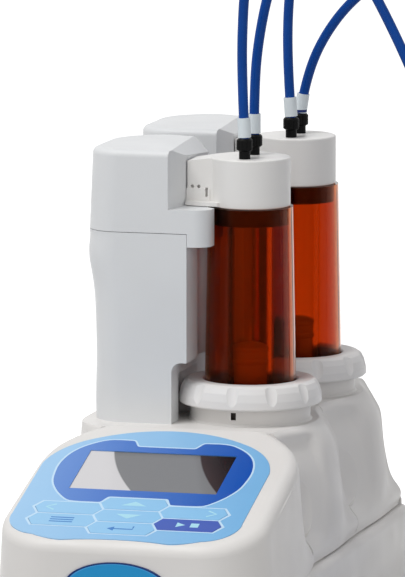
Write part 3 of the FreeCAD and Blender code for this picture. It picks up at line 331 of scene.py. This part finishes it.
def head_material():
    """White valve head, whose spigot inside the sleeve carries a dark seal."""
    white = (0.80, 0.785, 0.765)
    m = Material("valve_head", white, 0.36)
    drift = m.mix(m.noise(12.0, 4.0), shade(white, 0.97), shade(white, 1.03))
    head_foot = 219.6 * MM
    inside = m.math("LESS_THAN", m.axis("Z"), head_foot)
    m.paint(m.mix(inside, drift, (0.02, 0.012, 0.01)))
    m.rough(m.spread(m.noise(50.0, 5.0), 0.3, 0.7, 0.3, 0.44))
    return m.bump(m.noise(800.0, 2.0), 0.15, 0.00006).material


def sleeve_material():
    """White marking sleeves; the last hose's one has a blue ring at its foot."""
    color = (0.74, 0.80, 0.83)
    m = Material("hose_sleeves", color, 0.5, Specular_IOR_Level=0.3)
    ring_height, ring_reach, before_last = 256.8 * MM, 0.7 * MM, 106 * MM
    low = m.near(m.axis("Z"), ring_height, ring_reach)
    last = m.math("GREATER_THAN", m.axis("Y"), before_last)
    tone = m.mix(m.noise(40.0, 4.0), shade(color, 0.96), shade(color, 1.03))
    m.paint(m.mix(m.math("MULTIPLY", low, last), tone, (0.006, 0.02, 0.14)))
    m.rough(m.spread(m.noise(90.0, 4.0), 0.3, 0.7, 0.44, 0.58))
    return m.bump(m.noise(600.0, 2.0), 0.2, 0.00006).material


def foil_material(name, color, right=None):
    """Printed polyester foil, satin and finely grained; it may turn to another tone at right, which
    is partly its own print and partly painted shade, the paler left being painted light.
    """
    left_edge, right_edge = -0.062, 0.052
    m = Material(name, color, 0.38, Specular_IOR_Level=0.2)
    drift = m.noise(14.0, 4.0)
    tone = m.mix(drift, shade(color, 0.96), shade(color, 1.04))
    # partly the foil's own tone and partly painted light: paler at left, deeper and shaded at right
    if right:
        right_tone_and_shade = m.mix(drift, shade(right, 0.96), shade(right, 1.04))
        tone = m.mix(m.spread(m.axis("X"), left_edge, right_edge, 0, 1), tone, right_tone_and_shade)
    m.paint(tone)
    m.rough(m.spread(m.noise(70.0, 4.0), 0.3, 0.7, 0.32, 0.46))
    return m.bump(m.noise(1400.0, 2.0), 0.18, 0.00004).material


def surround_material():
    """Print round the display: deep blue at the right, paler towards the left; the drift is partly
    the print's own tone and partly painted light from the left.
    """
    m = Material("print_surround", (0.02, 0.12, 0.55), 0.36, Specular_IOR_Level=0.15)
    left_edge, right_edge = -0.054, 0.046
    # partly the print's own tone and partly painted light: the ramp pales towards the left
    across = m.spread(m.axis("X"), left_edge, right_edge, 0, 1)
    m.paint(m.ramp(across, ((0.0, (0.135, 0.28, 0.66)), (1.0, (0.003, 0.08, 0.43)),
                            (0.35, (0.07, 0.19, 0.58)), (0.75, (0.03, 0.13, 0.50)))))
    return m.bump(m.noise(1400.0, 2.0), 0.18, 0.00004).material


def display_material():
    """Display glass with painted reflections: a pale, a grey and a dark field, whose edges curve
    down the glass; the grey is darker along the top as painted shadow.
    """
    window_top = 42 * MM
    lean, bow = 0.26, 5.1                # the edges' slope at the top, and how it grows
    pale_edge = PANEL.x - 26.1 * MM      # at the window's top
    blur = 0.4 * MM
    dark_from = 45.2 * MM                # beyond the pale edge
    m = Material("display", (0.2, 0.2, 0.2), 0.12, Specular_IOR_Level=0.2)
    down = m.math("DIVIDE", m.math("SUBTRACT", PANEL.y, m.axis("Y")), math.cos(PANEL_SLOPE))
    down = m.math("ADD", down, window_top)
    curve = m.math("MULTIPLY", m.math("MULTIPLY", down, down), bow)
    curve = m.math("ADD", curve, m.math("MULTIPLY", down, lean))
    beyond = m.math("SUBTRACT", m.math("SUBTRACT", m.axis("X"), pale_edge), curve)
    # painted reflections: a pale field left of the curved edge and a dark field beyond dark_from
    pale_reflection = m.spread(beyond, -blur, blur, 1, 0)
    dark = m.spread(beyond, dark_from - blur, dark_from + blur, 0, 1)
    # painted shadow: the grey painted reflection darkens along the window's top edge
    grey_reflection_and_shadow = m.mix(m.spread(down, 0, 5 * MM, 0, 1), (0.165, 0.17, 0.18), (0.212, 0.215, 0.225))
    tone = m.mix(pale_reflection, grey_reflection_and_shadow, (0.66, 0.65, 0.665))
    # the dark painted reflection fades from brownish to near black towards the right
    depth = m.spread(m.math("SUBTRACT", m.axis("X"), m.math("MULTIPLY", down, 0.5)),
                     12 * MM, 34 * MM, 0, 1)
    m.paint(m.mix(dark, tone, m.mix(depth, (0.052, 0.037, 0.040), (0.008, 0.009, 0.012))))
    return m.bump(m.noise(500.0, 2.0), 0.03, 0.00004).material


def badge_material():
    """Bare oval plate: dark rim, thin line, lighter upper field and a deeper one below."""
    middle_x, middle_z, half_width, half_height = -1.7 * MM, 50 * MM, 27 * MM, 13 * MM
    field_edge, line_middle, line_reach, rim_from = 0.32, 0.875, 0.03, 0.905
    m = Material("badge", (0.02, 0.2, 0.6), 0.3, Specular_IOR_Level=0.2)
    across = m.math("DIVIDE", m.math("SUBTRACT", m.axis("X"), middle_x), half_width)
    up = m.math("DIVIDE", m.math("SUBTRACT", m.axis("Z"), middle_z), half_height)
    reach = m.math("ADD", m.math("MULTIPLY", across, across), m.math("MULTIPLY", up, up))
    upper = m.math("GREATER_THAN", up, field_edge)
    field = m.mix(upper, (0.006, 0.085, 0.42), (0.015, 0.29, 0.62))
    field = m.mix(m.near(reach, line_middle, line_reach), field, (0.05, 0.33, 0.7))
    m.paint(m.mix(m.math("GREATER_THAN", reach, rim_from), field, (0.004, 0.03, 0.16)))
    return m.bump(m.noise(900.0, 2.0), 0.08, 0.00004).material


def board_material():
    """Green circuit board with a fine pattern of tracks."""
    m = Material("circuit_board", (0.02, 0.17, 0.06), 0.35)
    tracks = m.nodes.new("ShaderNodeTexBrick")
    tracks.inputs["Scale"].default_value = 90.0
    m.link(m.position, tracks.inputs["Vector"])
    m.paint(m.mix(tracks.outputs["Fac"], (0.015, 0.14, 0.05), (0.05, 0.3, 0.12)))
    return m.bump(m.noise(700.0), 0.1, 0.00005).material


def make_materials():
    """All materials, by the record's material slot, a node's own look or a print's kind."""
    return {
        "housing": moulded("housing", HOUSING_COLOR),
        "tower": moulded("tower", (0.735, 0.745, 0.755), 0.38),
        "white_plastic": moulded("white_plastic", (0.80, 0.785, 0.775), 0.36, 700.0, 0.15),
        "valve_head": head_material(),
        "unit_body": unit_material(),
        "amber": amber_material(),
        "clear_glass": glass_material(),
        "piston": moulded("piston", (0.84, 0.82, 0.78), 0.45, 500.0),
        "valve_plug": moulded("valve_plug", (0.86, 0.85, 0.83), 0.4, 500.0),
        "steel": brushed("steel", (0.56, 0.57, 0.58), 0.32, (1, 1, 12)),
        "brass": brushed("brass", (0.78, 0.57, 0.25), 0.28, (1, 1, 8)),
        "gear_plastic": moulded("gear_plastic", (0.78, 0.75, 0.66), 0.5, 500.0),
        "motor": moulded("motor", (0.035, 0.035, 0.04), 0.4, 600.0, 0.4, 0.1),
        "circuit_board": board_material(),
        "rubber": moulded("rubber", (0.02, 0.02, 0.02), 0.8, 1200.0, 0.6, 0.15),
        "black_plastic": moulded("black_plastic", (0.004, 0.004, 0.004), 0.38, 700.0, 0.4, 0.15,
                                 Specular_IOR_Level=0.08),
        "hose": hose_material(),
        "hose_sleeves": sleeve_material(),
        # the foil's and keys' second tones at right are partly their own print and partly painted
        # shade
        "keypad_foil": foil_material("keypad_foil", (0.36, 0.60, 0.86), (0.20, 0.47, 0.78)),
        "key": foil_material("key", (0.34, 0.61, 0.87), (0.24, 0.53, 0.83)),
        "start_key": foil_material("start_key", (0.06, 0.115, 0.47)),
        "print_line": foil_material("print_line", (0.56, 0.76, 0.94)),
        "print_mark": foil_material("print_mark", (0.42, 0.74, 0.88)),
        "print_dark": foil_material("print_dark", (0.05, 0.22, 0.60)),
        "print_surround": surround_material(),
        "display": display_material(),
        "badge": badge_material(),
    }


# Prints on the keypad

def on_panel(across, up, out):
    """Place of a point given across, up the slope and out of the panel, in millimetres."""
    c, s = math.cos(PANEL_SLOPE), math.sin(PANEL_SLOPE)
    return PANEL + Vector((across, up * c - out * s, up * s + out * c)) * MM


def smoothed(points, rounds=2, share=0.25):
    """Corner cutting; the corners of the two notches near the middle stay crisp."""
    def reach(corner):
        return NOTCH_CUT if abs(corner[0]) < NOTCH_REACH else OPEN_CUT

    for _ in range(rounds):
        result = []
        for a, b in zip(points, points[1:] + points[:1]):
            side = math.hypot(b[0] - a[0], b[1] - a[1])
            for here, there in ((a, b), (b, a)):
                cut = min(share, reach(here) / side)
                result.append((here[0] + cut * (there[0] - here[0]),
                               here[1] + cut * (there[1] - here[1])))
        points = result
    return points


def grown(points, amount):
    """The closed outline moved outwards by amount, each corner along its bisector."""
    area = sum(a[0] * b[1] - b[0] * a[1] for a, b in zip(points, points[1:] + points[:1]))
    sign = 1 if area > 0 else -1
    result = []
    for before, here, after in zip(points[-1:] + points[:-1], points, points[1:] + points[:1]):
        way_in = Vector((here[0] - before[0], here[1] - before[1])).normalized()
        way_out = Vector((after[0] - here[0], after[1] - here[1])).normalized()
        normal = Vector((way_in.y + way_out.y, -way_in.x - way_out.x)) * sign
        normal.normalize()
        reach = amount / max(0.4, normal.dot(Vector((way_in.y, -way_in.x)) * sign))
        result.append((here[0] + normal.x * reach, here[1] + normal.y * reach))
    return result


def film(name, loops, top, rise, material, body="base"):
    """Thin printed film that rises over the top it lies on; later loops are holes in the first."""
    high, low = top + rise, top - FILM_DEPTH
    mesh = bpy.data.meshes.new(name)
    bm = bmesh.new()
    edges = []
    for loop in loops:
        corners = [bm.verts.new(on_panel(x, y, high)) for x, y in loop]
        edges += [bm.edges.new((a, b)) for a, b in zip(corners, corners[1:] + corners[:1])]
    filled = bmesh.ops.triangle_fill(bm, edges=edges, use_beauty=True)
    faces = [item for item in filled["geom"] if isinstance(item, bmesh.types.BMFace)]
    sunk = bmesh.ops.extrude_face_region(bm, geom=faces)
    down = on_panel(0, 0, low) - on_panel(0, 0, high)
    for item in sunk["geom"]:
        if isinstance(item, bmesh.types.BMVert):
            item.co += down
    bmesh.ops.recalc_face_normals(bm, faces=bm.faces)
    bm.to_mesh(mesh)
    bm.free()
    mesh.materials.append(material)
    piece = bpy.data.objects.new(name, mesh)
    bpy.context.scene.collection.objects.link(piece)
    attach(piece, body)


def key_outline(name, shrink):
    """Six-sided outline of a key, drawn in by shrink; it grows where shrink is negative."""
    across, up = KEYS[name]
    flat = KEY_FLAT - shrink
    half = KEY_PITCH / 2 - KEY_GAP - shrink
    tip = flat + KEY_TIP - shrink
    return [
        (across - flat, up - half), (across + flat, up - half), (across + tip, up),
        (across + flat, up + half), (across - flat, up + half), (across - tip, up),
    ]


def moved_by(points, across, up):
    return [(x + across, y + up) for x, y in points]


def stroke(points, width):
    """Outline of an open line drawn with the given width."""
    left, right = [], []
    for index, here in enumerate(points):
        before = points[max(index - 1, 0)]
        after = points[min(index + 1, len(points) - 1)]
        way = Vector((after[0] - before[0], after[1] - before[1])).normalized()
        side = Vector((-way.y, way.x)) * width / 2
        left.append((here[0] + side.x, here[1] + side.y))
        right.append((here[0] - side.x, here[1] - side.y))
    return left + right[::-1]


# Generic symbols on the keys, as outlines round each key's middle
KEY_MARKS = {
    "key_up": [[(-6.5, -1.9), (6.5, -1.9), (0.0, 2.6)]],
    "key_down": [[(-6.5, 1.9), (6.5, 1.9), (0.0, -2.6)]],
    "key_left": [stroke([(-7.0, 3.0), (-11.5, 0.0), (-7.0, -3.0)], 1.1)],
    "key_right": [stroke([(7.0, 3.0), (11.5, 0.0), (7.0, -3.0)], 1.1)],
    "key_menu": [[(-6, y - 0.45), (6, y - 0.45), (6, y + 0.45), (-6, y + 0.45)]
                 for y in (-2.2, 0, 2.2)],
    "key_enter": [
        stroke([(6.0, 2.4), (6.0, -0.8), (-4.0, -0.8)], 0.9),
        [(-3.6, -2.9), (-3.6, 1.3), (-7.2, -0.8)],
    ],
    "key_start": [
        [(-5.6, -2.5), (-5.6, 2.5), (-1.2, 0.0)],
        [(1.6, -2.1), (5.8, -2.1), (5.8, 2.1), (1.6, 2.1)],
    ],
}


def make_prints(materials):
    """The print round the display, the key outlines on the foil and the marks on the keys."""
    right = list(SURROUND_RIGHT)
    surround = smoothed(right + [(-x, y) for x, y in reversed(right)])
    film("print_surround", [surround, WINDOW], FOIL_TOP, SURROUND_RISE,
         materials["print_surround"])
    film("print_surround_line", [grown(surround, 1.0), grown(surround, 0.02)], FOIL_TOP,
         SURROUND_LINE_RISE, materials["print_line"])
    for step, (name, (across, up)) in enumerate(KEYS.items()):
        film(f"print_line_{name}", [key_outline(name, -0.7), key_outline(name, 0.08)],
             FOIL_TOP, LINE_RISE + LINE_STEP * step, materials["print_line"])
        material = materials["print_dark" if name in DARK_MARKS else "print_mark"]
        for index, loop in enumerate(KEY_MARKS[name]):
            film(f"print_mark_{name}_{index + 1}", [moved_by(loop, across, up)],
                 KEY_TOP, MARK_RISE, material, name + "_cap")


# Hoses

def make_hose(name, route, material):
    """Smooth round tube in place of the hose's solid."""
    curve = bpy.data.curves.new("tube_" + name, "CURVE")
    curve.dimensions = "3D"
    curve.bevel_depth = HOSE_DIAMETER / 2
    curve.bevel_resolution = 6
    curve.use_fill_caps = True
    spline = curve.splines.new("NURBS")
    spline.points.add(len(route) - 1)
    for point, place in zip(spline.points, route):
        point.co = (*(Vector(place) * MM), 1)
    spline.order_u = 3
    spline.use_endpoint_u = True
    spline.resolution_u = 12
    curve.materials.append(material)
    piece = bpy.data.objects.new("tube_" + name, curve)
    bpy.context.scene.collection.objects.link(piece)
    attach(piece, "base")
    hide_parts(name)


# Stage and light

def seen_rays(nodes, links, path):
    """One for the rays by which the background is seen: directly, in gloss and through glass."""
    seen = path.outputs["Is Camera Ray"]
    for name in ("Is Glossy Ray", "Is Transmission Ray"):
        most = nodes.new("ShaderNodeMath")
        most.operation = "MAXIMUM"
        links.new(seen, most.inputs[0])
        links.new(path.outputs[name], most.inputs[1])
        seen = most.outputs[0]
    return seen


def stage_material(name, own, camera_light):
    """Pale surface that also shows its own white to the camera, and keeps the shadow."""
    material = bpy.data.materials.new(name)
    material.use_nodes = True
    nodes, links = material.node_tree.nodes, material.node_tree.links
    nodes.clear()
    diffuse = nodes.new("ShaderNodeBsdfDiffuse")
    diffuse.inputs["Color"].default_value = (own, own, own, 1)
    glow = nodes.new("ShaderNodeEmission")
    path = nodes.new("ShaderNodeLightPath")
    amount = nodes.new("ShaderNodeMath")
    amount.operation = "MULTIPLY"
    amount.inputs[1].default_value = camera_light
    links.new(seen_rays(nodes, links, path), amount.inputs[0])
    links.new(amount.outputs[0], glow.inputs["Strength"])
    both = nodes.new("ShaderNodeAddShader")
    links.new(diffuse.outputs[0], both.inputs[0])
    links.new(glow.outputs[0], both.inputs[1])
    output = nodes.new("ShaderNodeOutputMaterial")
    links.new(both.outputs[0], output.inputs["Surface"])
    return material


def make_floor():
    mesh = bpy.data.meshes.new("floor")
    side, low = FLOOR_HALF, FLOOR_LEVEL
    corners = [(-side, -side, low), (side, -side, low), (side, side, low), (-side, side, low)]
    mesh.from_pydata(corners, [], [(0, 1, 2, 3)])
    mesh.materials.append(stage_material("floor", FLOOR_TONE, FLOOR_GLOW))
    floor = bpy.data.objects.new("floor", mesh)
    bpy.context.scene.collection.objects.link(floor)


def make_world(ambient):
    """White to the camera and in gloss and glass; a plain grey level as light."""
    world = bpy.data.worlds.new("world")
    bpy.context.scene.world = world
    world.use_nodes = True
    nodes, links = world.node_tree.nodes, world.node_tree.links
    background = nodes["Background"]
    background.inputs["Color"].default_value = (1, 1, 1, 1)
    path = nodes.new("ShaderNodeLightPath")
    level = nodes.new("ShaderNodeMapRange")
    level.inputs["To Min"].default_value = ambient
    level.inputs["To Max"].default_value = 1.0
    links.new(seen_rays(nodes, links, path), level.inputs["Value"])
    links.new(level.outputs[0], background.inputs["Strength"])


def area_lamp(name, place, size, power):
    data = bpy.data.lights.new(name, "AREA")
    data.shape = "DISK"
    data.size = size
    data.energy = power
    lamp = bpy.data.objects.new(name, data)
    lamp.location = place
    lamp.rotation_mode = "QUATERNION"
    lamp.rotation_quaternion = (Vector(LAMP_TARGET) - lamp.location).to_track_quat("-Z", "Y")
    bpy.context.scene.collection.objects.link(lamp)


# Dressing the CAD nodes

def base_name(node):
    """A node's name without the number of its unit."""
    head, _, tail = node.rpartition("_")
    return head if tail.isdigit() else node


def dress_nodes(materials):
    """Each CAD node gets its slot's material, or its own where it has one."""
    slots = {entry["node"]: entry["material_slot"] for entry in frame["record"]["subparts"]}
    for name, node in frame["nodes"].items():
        own = base_name(name)
        key = own if own in OWN_LOOKS else slots[name]
        node.data.materials.clear()
        node.data.materials.append(materials[key])


def main():
    bpy.context.scene.view_settings.view_transform = "Standard"
    make_camera()
    make_world(AMBIENT)
    for lamp in LAMPS:
        area_lamp(*lamp)
    make_floor()
    materials = make_materials()
    dress_nodes(materials)
    for name, (length, route) in HOSE_ROUTES.items():
        make_hose(name, route, materials["hose"])
    make_prints(materials)


main()
